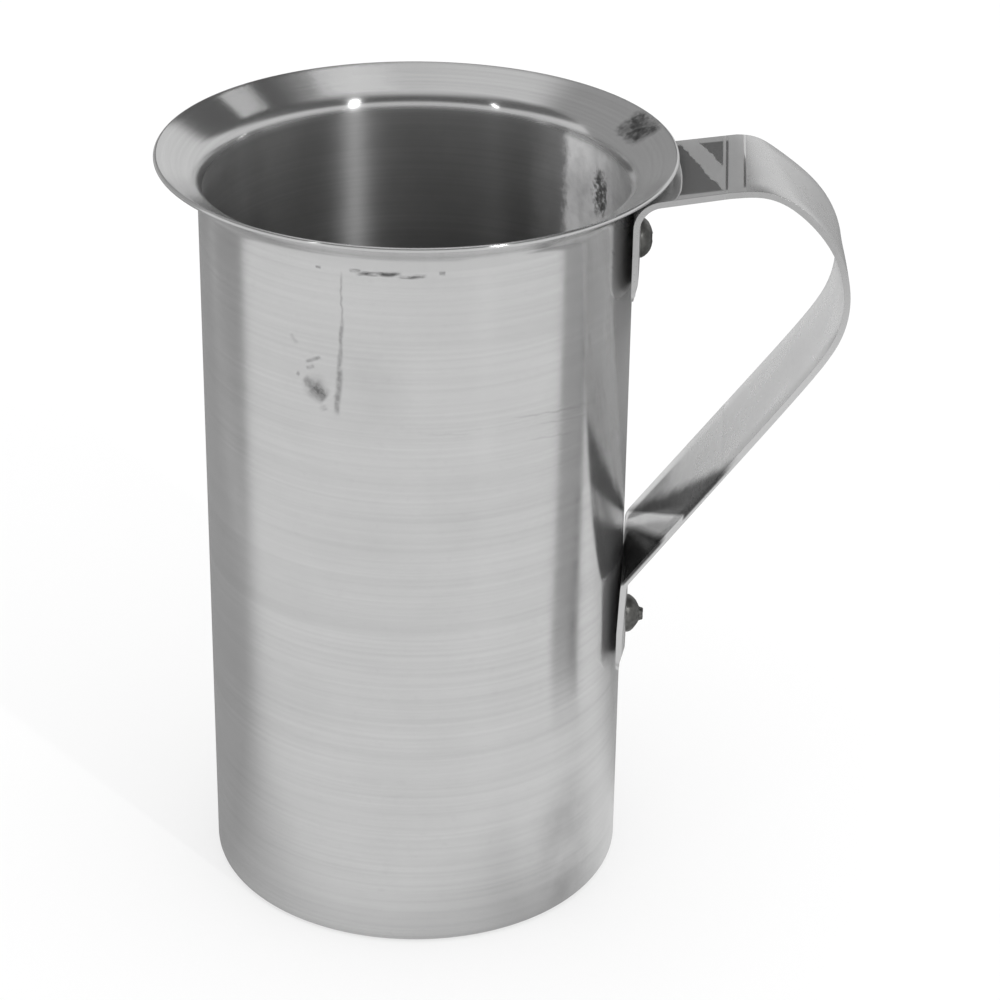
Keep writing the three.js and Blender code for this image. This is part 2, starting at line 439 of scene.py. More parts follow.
def blend(tree, factor, first, second):
    """A value between two, by a factor."""
    node = add(tree, "ShaderNodeMix")
    for socket, value in zip((node.inputs[0], node.inputs[2], node.inputs[3]), (factor, first, second)):
        feed(tree, socket, value)
    return node.outputs[0]


def colour_between(tree, factor, dark, light):
    node = add(tree, "ShaderNodeMix", data_type="RGBA")
    feed(tree, node.inputs["Factor"], factor)
    node.inputs[6].default_value = (*dark, 1.0)
    node.inputs[7].default_value = (*light, 1.0)
    return node.outputs[2]


def of_vectors(tree, operation, first, second=(0.0, 0.0, 0.0)):
    node = add(tree, "ShaderNodeVectorMath", operation=operation)
    for socket, value in zip(node.inputs, (first, second)):
        feed(tree, socket, value)
    return node.outputs["Value" if operation in ("DOT_PRODUCT", "LENGTH") else "Vector"]


def split(tree, vector):
    node = add(tree, "ShaderNodeSeparateXYZ")
    tree.links.new(vector, node.inputs[0])
    return node.outputs


def bearing_of(tree, x, y):
    """Angle round the axis from -Y towards +X."""
    return calculate(tree, "ARCTAN2", x, times(tree, y, -1.0))


def noise(tree, vector, scale, detail=2.0, roughness=0.5):
    node = add(tree, "ShaderNodeTexNoise", Detail=detail, Roughness=roughness)
    tree.links.new(vector, node.inputs["Vector"])
    feed(tree, node.inputs["Scale"], scale)
    return node.outputs["Fac"]


def stretched(tree, vector, scale, turn=(0.0, 0.0, 0.0)):
    node = add(tree, "ShaderNodeMapping", Scale=scale, Rotation=turn)
    tree.links.new(vector, node.inputs["Vector"])
    return node.outputs["Vector"]


def object_place(tree):
    return add(tree, "ShaderNodeTexCoord").outputs["Object"]


# Effects that more than one material uses

VALUE = "NodeSocketFloat"
VECTOR = "NodeSocketVector"


def new_group(name, inputs, outputs):
    tree = bpy.data.node_groups.new(name, "ShaderNodeTree")
    for socket, kind in inputs:
        tree.interface.new_socket(socket, in_out="INPUT", socket_type=kind)
    for socket in outputs:
        tree.interface.new_socket(socket, in_out="OUTPUT", socket_type=VALUE)
    given = tree.nodes.new("NodeGroupInput").outputs
    result = tree.nodes.new("NodeGroupOutput").inputs
    return tree, given, result


def use_group(tree, group, place, **values):
    node = add(tree, "ShaderNodeGroup", node_tree=group)
    tree.links.new(place, node.inputs["Place"])
    for name, value in values.items():
        node.inputs[name].default_value = value
    return node.outputs


def round_the_axis_group():
    """Where a point lies on the vessel: bearing from -Y towards +X, height, and length along the sheet."""
    tree, given, result = new_group(
        "round_the_axis", [("Place", VECTOR)], ["Bearing", "Height", "Along"]
    )
    x, y, z = split(tree, given["Place"])
    radius = calculate(tree, "SQRT", plus(tree, times(tree, x, x), times(tree, y, y)))
    tree.links.new(bearing_of(tree, x, y), result["Bearing"])
    tree.links.new(z, result["Height"])
    tree.links.new(plus(tree, z, radius), result["Along"])
    return tree


def spin_rings_group(axis_group):
    """Fine rings left by spinning: they follow the wall, the flare and the base round the axis."""
    tree, given, result = new_group(
        "spin_rings",
        [("Place", VECTOR), ("Fineness", VALUE), ("Length", VALUE)],
        ["Rings", "Bands"],
    )
    x, y, _ = split(tree, given["Place"])
    along = use_group(tree, axis_group, given["Place"])["Along"]
    for name, share in (("Rings", 1.0), ("Bands", 0.16)):
        joined = add(tree, "ShaderNodeCombineXYZ")
        tree.links.new(times(tree, x, given["Length"]), joined.inputs[0])
        tree.links.new(times(tree, y, given["Length"]), joined.inputs[1])
        fine = times(tree, given["Fineness"], share)
        tree.links.new(times(tree, along, fine), joined.inputs[2])
        tree.links.new(noise(tree, joined.outputs[0], 1.0, 3.0, 0.6), result[name])
    return tree


def scratches_group():
    """Sparse thin scratches in two slanting directions."""
    tree, given, result = new_group(
        "fine_scratches", [("Place", VECTOR), ("Scale", VALUE)], ["Scratches"]
    )
    marks = []
    for turn, limit in (((0.3, 0.5, 0.2), 0.70), ((-0.6, 0.9, -0.5), 0.71)):
        place = stretched(tree, given["Place"], (1.0, 1.0, 0.03), turn)
        streaks = noise(tree, place, given["Scale"], 1.0)
        marks.append(spread(tree, streaks, limit, limit + 0.05))
    tree.links.new(larger(tree, *marks), result["Scratches"])
    return tree


def smudges_group():
    """Cloudy marks of handling, larger and smaller."""
    tree, given, result = new_group(
        "handling_smudges", [("Place", VECTOR), ("Scale", VALUE)], ["Clouds", "Specks"]
    )
    clouds = noise(tree, given["Place"], given["Scale"], 4.0, 0.6)
    specks = noise(tree, given["Place"], times(tree, given["Scale"], 14.0))
    tree.links.new(spread(tree, clouds, 0.35, 0.7), result["Clouds"])
    tree.links.new(spread(tree, specks, 0.62, 0.75), result["Specks"])
    return tree


# Metals


def new_metal(name, metallic, anisotropy=0.0, turn=0.0):
    material = bpy.data.materials.new(name)
    material.use_nodes = True
    tree = material.node_tree
    shader = tree.nodes["Principled BSDF"]
    shader.inputs["Metallic"].default_value = metallic
    shader.inputs["Anisotropic"].default_value = anisotropy
    shader.inputs["Anisotropic Rotation"].default_value = turn
    return material, tree, shader, object_place(tree)


def grain_round(tree, shader, axis):
    """Sets the metal's grain round an axis."""
    node = add(tree, "ShaderNodeTangent", direction_type="RADIAL", axis=axis)
    tree.links.new(node.outputs["Tangent"], shader.inputs["Tangent"])


def paint_grey(tree, shader, tone):
    grey = colour_between(tree, tone, (0.0, 0.0, 0.0), (1.0, 1.0, 1.0))
    tree.links.new(grey, shader.inputs["Base Color"])


def bump(tree, shader, height, distance):
    node = add(tree, "ShaderNodeBump", Strength=1.0, Distance=distance)
    tree.links.new(height, node.inputs["Height"])
    tree.links.new(node.outputs["Normal"], shader.inputs["Normal"])


def unrolled(tree, where, wobble):
    """The wall laid flat: metres round from the front, metres up, made a little uneven."""
    node = add(tree, "ShaderNodeCombineXYZ")
    around = times(tree, where["Bearing"], BODY_RADIUS)
    tree.links.new(plus(tree, around, wobble), node.inputs[0])
    tree.links.new(plus(tree, where["Height"], wobble), node.inputs[1])
    return node.outputs[0]


def drawn_line(tree, spot, start, end, width):
    """1 on a line between two points of the unrolled wall, with soft edges and ends."""
    middle = (Vector(start) + Vector(end)) / 2
    way = Vector(end) - Vector(start)
    reach = way.length / 2
    way.normalize()
    off = of_vectors(tree, "SUBTRACT", spot, (*middle, 0.0))
    along = of_vectors(tree, "DOT_PRODUCT", off, (*way, 0.0))
    across = of_vectors(tree, "DOT_PRODUCT", off, (-way.y, way.x, 0.0))
    return times(
        tree,
        patch(tree, across, 0.0, width * 0.05, width * 0.65),
        patch(tree, along, 0.0, reach * 0.65, reach * 0.5),
    )


def blot(tree, spot, middle, reach):
    """A soft oval round a point of the unrolled wall."""
    off = of_vectors(tree, "SUBTRACT", spot, (*middle, 0.0))
    share = of_vectors(tree, "DIVIDE", off, (*reach, 1.0))
    return ease(tree, of_vectors(tree, "LENGTH", share), 0.25, 1.0, 1.0, 0.0)


# Wear on the outside, in unrolled metres: lines as (start, end, width, depth)
CREASES = (
    ((-0.0109, 0.1560), (-0.0107, 0.1440), 0.0006, 0.30),
    ((-0.0107, 0.1460), (-0.0114, 0.1340), 0.0010, 0.42),
    ((-0.0112, 0.1360), (-0.0121, 0.1250), 0.0014, 0.48),
    ((-0.0192, 0.1320), (-0.0158, 0.1294), 0.0024, 0.38),
    ((-0.0174, 0.1305), (-0.0143, 0.1282), 0.0038, 0.56),
    ((-0.0188, 0.1355), (-0.0154, 0.1371), 0.0009, 0.42),
    ((-0.0188, 0.1340), (-0.0168, 0.1349), 0.0009, 0.32),
    ((-0.0210, 0.1326), (-0.0202, 0.1323), 0.0009, 0.34),
    ((-0.0208, 0.1388), (-0.0222, 0.1408), 0.0012, 0.14),
    ((-0.0153, 0.1267), (-0.0146, 0.1255), 0.0020, 0.20),
)
LONG_SCRATCHES = (
    ((0.0240, 0.1240), (0.0500, 0.1205), 0.0005, 0.14),
    ((0.0300, 0.1210), (0.0440, 0.1190), 0.0004, 0.10),
    ((0.0280, 0.1180), (0.0400, 0.1165), 0.0005, 0.10),
    ((0.0060, 0.1222), (0.0150, 0.1218), 0.0004, 0.08),
)
RIM_DASHES = (
    ((-0.0162, 0.1564), (-0.0149, 0.1564), 0.0007, 0.45),
    ((-0.0092, 0.1566), (-0.0068, 0.1566), 0.0008, 0.60),
    ((-0.0076, 0.1561), (0.0010, 0.1567), 0.0010, 0.80),
    ((0.0004, 0.1560), (0.0058, 0.1561), 0.0009, 0.70),
    ((0.0084, 0.1568), (0.0098, 0.1568), 0.0009, 0.55),
)
# Dark rings round the wall, as (height, width, depth)
SPIN_LINES = (
    (0.0775, 0.0016, 0.045),
    (0.0473, 0.0006, 0.040),
    (0.0645, 0.0008, 0.030),
    (0.0885, 0.0010, 0.025),
)
# Soft smears, the first two are painted shade low on the right by the base, as (middle, reach, depth)
SMEARS_AND_SHADE = (
    ((0.0400, 0.0170), (0.0130, 0.0220), 0.22),
    ((0.0450, 0.0030), (0.0150, 0.0120), 0.20),
    ((-0.0166, 0.1302), (0.0036, 0.0040), 0.22),
    ((-0.0030, 0.1330), (0.0100, 0.0140), 0.05),
    ((0.0130, 0.1060), (0.0110, 0.0120), 0.05),
)


def vessel_outside(axis_group, rings_group, smudge_group):
    material, tree, shader, place = new_metal("spun_outside", metallic=0.92, anisotropy=0.95, turn=0.25)
    grain_round(tree, shader, "Z")
    where = use_group(tree, axis_group, place)
    rings = use_group(tree, rings_group, place, Fineness=1500.0, Length=14.0)
    broad = use_group(tree, rings_group, place, Fineness=330.0, Length=9.0)
    smudges = use_group(tree, smudge_group, place, Scale=45.0)
    spot = unrolled(tree, where, spread(tree, noise(tree, place, 400.0), 0.2, 0.8, -0.0003, 0.0003))
    speckle = spread(tree, noise(tree, place, 900.0, 3.0, 0.7), 0.3, 0.6, 0.45, 1.0)
    strokes = noise(tree, stretched(tree, place, (330.0, 330.0, 1500.0)), 1.0)
    strokes = spread(tree, strokes, 0.30, 0.55, 0.25, 1.0)
    dark = times(tree, smudges["Specks"], 0.03)
    for lines, texture in ((CREASES + LONG_SCRATCHES, speckle), (RIM_DASHES, strokes)):
        for start, end, width, depth in lines:
            mark = times(tree, drawn_line(tree, spot, start, end, width), depth)
            dark = larger(tree, dark, times(tree, mark, texture))
    cloudy = spread(tree, smudges["Clouds"], 0.0, 0.8, 0.35, 1.0)
    for middle, reach, depth in SMEARS_AND_SHADE:
        mark = times(tree, blot(tree, spot, middle, reach), depth)
        dark = plus(tree, dark, times(tree, mark, cloudy))
    waver = plus(tree, where["Height"], spread(tree, broad["Bands"], 0.2, 0.8, -0.0008, 0.0008))
    for height, width, depth in SPIN_LINES:
        mark = patch(tree, waver, height, width * 0.3, width)
        dark = plus(tree, dark, times(tree, mark, depth))
    tone = spread(tree, rings["Rings"], 0.2, 0.8, 0.715, 0.785)
    tone = plus(tree, tone, spread(tree, broad["Rings"], 0.25, 0.75, -0.028, 0.020))
    tone = plus(tree, tone, spread(tree, smudges["Clouds"], 0.0, 1.0, 0.015, -0.02))
    paint_grey(tree, shader, without(tree, tone, dark))
    rough = spread(tree, rings["Bands"], 0.3, 0.7, 0.12, 0.17)
    rough = plus(tree, rough, times(tree, smudges["Clouds"], 0.03))
    rough = plus(tree, rough, times(tree, dark, 0.2))
    tree.links.new(rough, shader.inputs["Roughness"])
    relief = plus(tree, rings["Rings"], times(tree, rings["Bands"], 1.5))
    relief = calculate(tree, "SUBTRACT", relief, times(tree, dark, 8.0))
    bump(tree, shader, relief, 0.000004)
    return material


# Inside of the vessel: the polished flare, and a pale film on the wall beside the handle, partly a real film
# and partly a painted reflection of light
FLARE_FOOT = 0.1562
FLARE_FACE = 0.1600
FLARE_STAIN = (math.radians(115.5), 0.1635)
FILM_AND_REFLECTION_START = math.radians(104) - 0.45
FILM_AND_REFLECTION_END = math.radians(137)
FILM_AND_REFLECTION_FOOT = (0.110, 0.136)
FILM_AND_REFLECTION_MARK = (math.radians(122.5), 0.1475)


def film_and_painted_reflection(tree, where, blotches, clouds, flecks, flare):
    """The pale film, partly painted reflected light: thicker towards its end, where it stops at a ragged
    line, with a dark mark in it.
    """
    ragged = plus(tree, where["Bearing"], spread(tree, blotches, 0.2, 0.8, -0.04, 0.04))
    film_and_reflection = ease(tree, ragged, FILM_AND_REFLECTION_START, FILM_AND_REFLECTION_END)
    film_and_reflection = times(tree, film_and_reflection, spread(tree, ragged, FILM_AND_REFLECTION_END, FILM_AND_REFLECTION_END + 0.05, 1.0, 0.30))
    film_and_reflection = times(tree, film_and_reflection, spread(tree, ragged, FILM_AND_REFLECTION_END + 0.05, FILM_AND_REFLECTION_END + 0.25, 1.0, 0.0))
    film_and_reflection = times(tree, film_and_reflection, ease(tree, where["Height"], *FILM_AND_REFLECTION_FOOT))
    film_and_reflection = without(tree, film_and_reflection, flare)
    film_and_reflection = times(tree, film_and_reflection, spread(tree, plus(tree, blotches, clouds), 0.35, 1.2, 0.6, 1.0))
    mark = patch(tree, ragged, FILM_AND_REFLECTION_MARK[0], math.radians(0.5), math.radians(5.0))
    mark = times(tree, mark, patch(tree, where["Height"], FILM_AND_REFLECTION_MARK[1], 0.0015, 0.0065))
    mark = times(tree, mark, spread(tree, flecks, 0.36, 0.60, 0.1, 1.0))
    return without(tree, film_and_reflection, spread(tree, mark, 0.12, 0.60, 0.0, 0.95))


def flare_stain(tree, where, blotches, flecks):
    stain = patch(tree, where["Bearing"], FLARE_STAIN[0], math.radians(3.0), math.radians(6.0))
    stain = times(tree, stain, patch(tree, where["Height"], FLARE_STAIN[1], 0.0009, 0.0017))
    stain = times(tree, stain, spread(tree, blotches, 0.34, 0.58, 1.0, 0.45))
    stain = spread(tree, stain, 0.12, 0.62, 0.0, 0.9)
    return times(tree, stain, spread(tree, flecks, 0.35, 0.65, 1.0, 0.7))


def vessel_inside(axis_group, rings_group, smudge_group):
    material, tree, shader, place = new_metal("spun_inside", metallic=0.97, anisotropy=0.95, turn=0.25)
    grain_round(tree, shader, "Z")
    where = use_group(tree, axis_group, place)
    rings = use_group(tree, rings_group, place, Fineness=1300.0, Length=10.0)
    clouds = use_group(tree, smudge_group, place, Scale=60.0)["Clouds"]
    blotches = noise(tree, place, 420.0, 4.0, 0.65)
    flecks = noise(tree, place, 800.0, 4.0, 0.7)
    flare = ease(tree, where["Height"], FLARE_FOOT, FLARE_FACE)
    film_and_reflection = film_and_painted_reflection(tree, where, blotches, clouds, flecks, flare)
    # Below the flare the inside is a darker grey, partly a duller finish and partly painted shade deep in
    # the vessel.
    deep = plus(tree, times(tree, rings["Rings"], 0.10), times(tree, clouds, 0.05))
    deep = plus(tree, deep, 0.36)
    bright = spread(tree, rings["Rings"], 0.2, 0.8, 0.70, 0.80)
    bright = without(tree, bright, flare_stain(tree, where, blotches, flecks))
    # The pale film is partly painted reflected light: near-white and hardly metallic.
    paint_grey(tree, shader, blend(tree, film_and_reflection, blend(tree, flare, deep, bright), 0.95))
    tree.links.new(spread(tree, film_and_reflection, 0.0, 1.0, 0.97, 0.05), shader.inputs["Metallic"])
    dull = spread(tree, rings["Bands"], 0.3, 0.7, 0.38, 0.46)
    polished = spread(tree, where["Height"], 0.1585, 0.1605, 0.07, 0.18)
    tree.links.new(blend(tree, flare, dull, polished), shader.inputs["Roughness"])
    bump(tree, shader, rings["Rings"], 0.000008)
    return material


# Strap: buffed figures on the top run, as soft edges (from, to) out from the axis or along a slant
TOP_RUN_END = (0.0672, 0.0676)
TOP_RUN_FOOT = (0.1585, 0.1600)
BUFFED_SLANT = 0.34
BUFFED_INNER = (0.0578, 0.0582)
BUFFED_OUTER = (0.0620, 0.0624)
BUFFED_END = (0.0624, 0.0627)
BUFFED_LINES = (0.0634, 0.0670)
BUFFED_ROUGHNESS = 0.05
# Painted dark reflection on the inner face of the lower end: a ragged band and a corner, cut off at slanting
# edges
DARK_REFLECTION_SLANT = 0.70
DARK_REFLECTION_TOP = (0.0538, 0.0580)
DARK_REFLECTION_FOOT_SLANT = 0.418
DARK_REFLECTION_FOOT = (0.0511, 0.0517)
DARK_REFLECTION_CORNER_SLANT = 0.34
DARK_REFLECTION_CORNER = (0.0478, 0.0492)
DARK_REFLECTION_HEIGHT = (0.0945, 0.0195, 0.0030)
INNER_FACE = (-0.0004, 0.0002)
# The strip's straight run, from the lower seat to the outer corner: distances out, heights, and skew across
STRAIGHT_RUN = (LOWER_SEAT, 0.0974, 0.07475, 0.1447)
STRAIGHT_RUN_SKEW = 0.05
# Tones of the strip: its grain, painted shade that makes it lighter low down and darker towards the top, its
# cut edges and its painted dark reflection
GRAIN_TONES = (0.77, 0.86)
TOP_PAINTED_SHADE_HEIGHTS = (0.125, 0.150)
TOP_PAINTED_SHADE = (1.14, 0.85)
CUT_EDGE = (0.0146, 0.0149)
CUT_EDGE_SHADE = 0.78
DARK_REFLECTION_TONES = (0.05, 0.11)


def slanted(tree, first, second, share):
    """first + share * second, for lines that cross the strip at a slant."""
    return plus(tree, first, times(tree, second, share))


def buffed_figures(tree, x, uneven, y):
    slant = slanted(tree, uneven, y, BUFFED_SLANT)
    outer = times(tree, spread(tree, slant, *BUFFED_OUTER), spread(tree, x, *BUFFED_END, 1.0, 0.0))
    figures = larger(tree, spread(tree, slant, *BUFFED_INNER, 1.0, 0.0), outer)
    for line in BUFFED_LINES:
        figures = larger(tree, figures, patch(tree, x, line, 0.0002, 0.0001))
    return figures


def lower_dark_reflection(tree, x, uneven, y, z):
    # The dark reflection at the lower end is painted into the colour: a band, a foot and a corner.
    band = ease(tree, slanted(tree, uneven, y, DARK_REFLECTION_SLANT), *DARK_REFLECTION_TOP, 1.0, 0.0)
    foot = spread(tree, slanted(tree, x, y, DARK_REFLECTION_FOOT_SLANT), *DARK_REFLECTION_FOOT)
    corner = spread(tree, slanted(tree, x, y, DARK_REFLECTION_CORNER_SLANT), *DARK_REFLECTION_CORNER, 1.0, 0.0)
    dark_reflection = larger(tree, times(tree, band, foot), corner)
    dark_reflection = times(tree, dark_reflection, patch(tree, z, *DARK_REFLECTION_HEIGHT))
    middle = slanted(tree, spread(tree, x, *STRAIGHT_RUN), y, STRAIGHT_RUN_SKEW)
    inner_face = spread(tree, calculate(tree, "SUBTRACT", z, middle), *INNER_FACE)
    return times(tree, dark_reflection, inner_face)


def strap_metal(scratch_group, smudge_group):
    material, tree, shader, place = new_metal("rolled_strip", metallic=0.86, anisotropy=0.6)
    grain_round(tree, shader, "Y")
    grain = noise(tree, stretched(tree, place, (1100.0, 260.0, 1100.0)), 1.0, 3.0, 0.65)
    scratches = use_group(tree, scratch_group, place, Scale=1100.0)["Scratches"]
    clouds = use_group(tree, smudge_group, place, Scale=70.0)["Clouds"]
    x, y, z = split(tree, place)
    uneven = plus(tree, x, spread(tree, noise(tree, place, 260.0), 0.3, 0.7, -0.0004, 0.0004))
    top_run = times(tree, spread(tree, x, *TOP_RUN_END, 1.0, 0.0), spread(tree, z, *TOP_RUN_FOOT))
    buffed = times(tree, buffed_figures(tree, x, uneven, y), top_run)
    dark_reflection = lower_dark_reflection(tree, x, uneven, y, z)
    tone = calculate(tree, "SUBTRACT", grain, times(tree, scratches, 0.15))
    face_tone = spread(tree, tone, 0.0, 1.0, *GRAIN_TONES)
    # Painted shade: the strip is made lighter on the lower run and darker towards the top of the loop.
    face_tone = times(tree, face_tone, spread(tree, z, *TOP_PAINTED_SHADE_HEIGHTS, *TOP_PAINTED_SHADE))
    cut_edge = spread(tree, calculate(tree, "ABSOLUTE", y), *CUT_EDGE)
    face_tone = times(tree, face_tone, spread(tree, cut_edge, 0.0, 1.0, 1.0, CUT_EDGE_SHADE))
    # A very dark grey for the painted dark reflection at the lower end.
    dark_reflection_tone = spread(tree, grain, 0.3, 0.7, *DARK_REFLECTION_TONES)
    paint_grey(tree, shader, blend(tree, dark_reflection, face_tone, dark_reflection_tone))
    satin = spread(tree, clouds, 0.0, 1.0, 0.26, 0.32)
    satin = plus(tree, satin, spread(tree, grain, 0.3, 0.7, -0.02, 0.02))
    satin = plus(tree, satin, times(tree, top_run, 0.14))
    satin = times(tree, satin, ease(tree, z, 0.086, 0.096, 0.45, 1.0))
    tree.links.new(blend(tree, buffed, satin, BUFFED_ROUGHNESS), shader.inputs["Roughness"])
    relief = times(tree, grain, spread(tree, top_run, 0.0, 1.0, 1.0, 0.1))
    bump(tree, shader, relief, 0.000002)
    return material


def rivet_metal(scratch_group, smudge_group):
    material, tree, shader, place = new_metal("dulled_rivet", metallic=0.92)
    clouds = use_group(tree, smudge_group, place, Scale=300.0)["Clouds"]
    scratches = use_group(tree, scratch_group, place, Scale=1500.0)["Scratches"]
    tone = calculate(tree, "SUBTRACT", clouds, times(tree, scratches, 0.3))
    colour = colour_between(tree, tone, (0.09, 0.09, 0.086), (0.21, 0.21, 0.20))
    tree.links.new(colour, shader.inputs["Base Color"])
    tree.links.new(spread(tree, clouds, 0.0, 1.0, 0.45, 0.32), shader.inputs["Roughness"])
    bump(tree, shader, clouds, 0.00008)
    return material


# Studio: camera, as in the photograph
CAMERA_PLACE = (0.0542, -0.5923, 0.3908)
CAMERA_PITCH = 0.47535
CAMERA_ROLL = 0.01484
CAMERA_HEADING = 0.06087
CAMERA_LENS = 111.19

# Brightness that the metal shows, by direction
BRIGHT_SIDE = 0.665
GREY_SIDE = 0.31
DARK_ABOVE = 0.075
ZENITH = 0.62
LEFT_PANEL = 0.70
DARK_GAP = 0.01
STRIP = 3.0
ROOM_LIGHT = 1.2

# Places in the surround, in degrees: bearings from -Y towards +X, and elevations
GREY_TO_PALE = (-102, -95)
SIDE_TOP = (25, 31)
ZENITH_EDGE = (55, 80)
PANEL_BEARING = (-117, 26, 5)
PANEL_FOOT = (52, 64)
STRIP_PLACES = ((147, 48), (145, 72))
GAP_PLACE = (-172.5, 25.0)
GAP_EDGE = (7, 5)

# Shadow on the floor behind the jug: its edges as (normal, offset, softness), in metres
SHADOW_FRONT = ((0.153, 0.988, 0.0), -0.0440, 0.026)
SHADOW_SIDE = ((-0.917, -0.399, 0.0), -0.0236, 0.015)
SHADOW_END = (0.9, 1.3)
SHADOW_DEEPENS = (0.38, 0.50)
FAR_SHADOW = 0.16
STREAK_NORMAL = (0.865, 0.504, 0.0)
STREAK_PLACE = (-0.1695, 0.012, 0.022)
STREAK_LIGHT = 0.25
# Dim strip on the floor at the right, with a darker line along its back edge
STRIP_FRONT = (-0.047, -0.037)
STRIP_BACK_NORMAL = (-0.296, 0.955, 0.0)
STRIP_BACK = (-0.040, -0.036)
STRIP_START = (0.122, 0.136)
STRIP_END = (0.5, 0.8)
STRIP_LINE = (-0.046, 0.006, 0.004)
STRIP_TONES = (0.28, 0.12)
# Dim sectors of the floor behind the handle, the nearer one a painted contact shadow: bearings in degrees,
# distances from the axis in metres
BEHIND_BEARING = (148, 20, 6)
BEHIND_START = (0.065, 0.18)
BEHIND_DEEPENS = (0.29, 0.33)
BEHIND_TONES = (0.30, 0.15)
BEHIND_LIFTS = (0.42, 0.52)
BEHIND_FAR_TONE = 0.36
CONTACT_SHADOW_BEARING = (150, 22, 28)
CONTACT_SHADOW_END = (0.16, 0.28)
CONTACT_SHADOW_DEPTH = 0.4

# Lamps: bearing and elevation in degrees, power in watts
LAMPS = {
    "front_lamp": (42, 34, 4.2),
    "left_fill": (-41, 34, 0.3),
}
LAMP_DISTANCE = 1.6
LAMP_WIDTH = 0.03
LAMP_HEIGHT = 0.4


def make_camera():
    data = bpy.data.cameras.new("photo_camera")
    data.sensor_width = 36.0
    data.lens = CAMERA_LENS
    camera = bpy.data.objects.new("photo_camera", data)
    bpy.context.scene.collection.objects.link(camera)
    turn = Matrix.Rotation(CAMERA_HEADING, 3, "Z") @ Matrix.Rotation(math.pi / 2 - CAMERA_PITCH, 3, "X")
    turn = turn @ Matrix.Rotation(CAMERA_ROLL, 3, "Z")
    camera.matrix_world = Matrix.Translation(CAMERA_PLACE) @ turn.to_4x4()
    bpy.context.scene.camera = camera


def degrees_up(angle):
    return math.sin(math.radians(angle))


def in_radians(angles):
    return [math.radians(angle) for angle in angles]


def direction_at(bearing, elevation):
    """Unit direction at a bearing from -Y towards +X and an elevation, both in degrees."""
    flat = math.cos(math.radians(elevation))
    turn = math.radians(bearing)
    return (math.sin(turn) * flat, -math.cos(turn) * flat, math.sin(math.radians(elevation)))


def surround_group():
    """Brightness of the studio by direction: pale round the jug, grey behind it on the left, dim above."""
    tree, given, result = new_group("studio_surround", [("Direction", VECTOR)], ["Brightness"])
    unit = of_vectors(tree, "NORMALIZE", given["Direction"])
    x, y, z = split(tree, unit)
    bearing = bearing_of(tree, x, y)
    pale = ease(tree, bearing, *in_radians(GREY_TO_PALE))
    low = blend(tree, pale, GREY_SIDE, BRIGHT_SIDE)
    dim = blend(tree, pale, GREY_SIDE, DARK_ABOVE)
    rise = ease(tree, z, *map(degrees_up, SIDE_TOP))
    top = ease(tree, z, *map(degrees_up, ZENITH_EDGE))
    panel = patch(tree, bearing, *in_radians(PANEL_BEARING))
    panel = times(tree, panel, ease(tree, z, *map(degrees_up, PANEL_FOOT)))
    strips = []
    for side, up in STRIP_PLACES:
        spot = patch(tree, bearing, math.radians(side), math.radians(1.0), math.radians(1.2))
        strips.append(times(tree, spot, patch(tree, z, degrees_up(up), 0.035, 0.02)))
    nearness = of_vectors(tree, "DOT_PRODUCT", unit, direction_at(*GAP_PLACE))
    gap = ease(tree, nearness, *(degrees_up(90 - edge) for edge in GAP_EDGE))
    total = blend(tree, top, blend(tree, rise, low, dim), ZENITH)
    total = blend(tree, panel, total, LEFT_PANEL)
    total = blend(tree, gap, total, DARK_GAP)
    total = plus(tree, total, times(tree, larger(tree, *strips), STRIP))
    tree.links.new(total, result["Brightness"])
    return tree


def past_line(tree, place, normal, offset, soft):
    """1 on the far side of a line on the floor, 0 on the near side, soft across it."""
    beyond = of_vectors(tree, "DOT_PRODUCT", place, normal)
    return ease(tree, beyond, offset - soft, offset + soft)


def floor_brightness(tree):
    """The floor as the metal shows it: pale, with soft shade behind the jug and a dim strip on its right."""
    place = object_place(tree)
    away = of_vectors(tree, "LENGTH", place)
    x, y, _ = split(tree, place)
    bearing = bearing_of(tree, x, y)
    shadow = past_line(tree, place, *SHADOW_FRONT)
    shadow = times(tree, shadow, past_line(tree, place, *SHADOW_SIDE))
    shadow = times(tree, shadow, ease(tree, away, *SHADOW_END, 1.0, 0.0))
    streak = of_vectors(tree, "DOT_PRODUCT", place, STREAK_NORMAL)
    streak = times(tree, patch(tree, streak, *STREAK_PLACE), STREAK_LIGHT)
    shadow = without(tree, shadow, streak)
    shadow_tone = ease(tree, away, *SHADOW_DEEPENS, GREY_SIDE, FAR_SHADOW)
    back_edge = of_vectors(tree, "DOT_PRODUCT", place, STRIP_BACK_NORMAL)
    strip = ease(tree, y, *STRIP_FRONT)
    strip = times(tree, strip, ease(tree, back_edge, *STRIP_BACK, 1.0, 0.0))
    strip = times(tree, strip, ease(tree, x, *STRIP_START))
    strip = times(tree, strip, ease(tree, x, *STRIP_END, 1.0, 0.0))
    strip_tone = blend(tree, patch(tree, back_edge, *STRIP_LINE), *STRIP_TONES)
    behind = patch(tree, bearing, *in_radians(BEHIND_BEARING))
    behind = times(tree, behind, ease(tree, away, *BEHIND_START))
    behind_tone = ease(tree, away, *BEHIND_DEEPENS, *BEHIND_TONES)
    behind_tone = blend(tree, spread(tree, away, *BEHIND_LIFTS), behind_tone, BEHIND_FAR_TONE)
    contact_shadow = patch(tree, bearing, *in_radians(CONTACT_SHADOW_BEARING))
    contact_shadow = times(tree, contact_shadow, ease(tree, away, *CONTACT_SHADOW_END, CONTACT_SHADOW_DEPTH, 0.0))
    total = blend(tree, strip, BRIGHT_SIDE, strip_tone)
    total = blend(tree, behind, total, behind_tone)
    total = without(tree, total, contact_shadow)
    return blend(tree, shadow, total, shadow_tone)


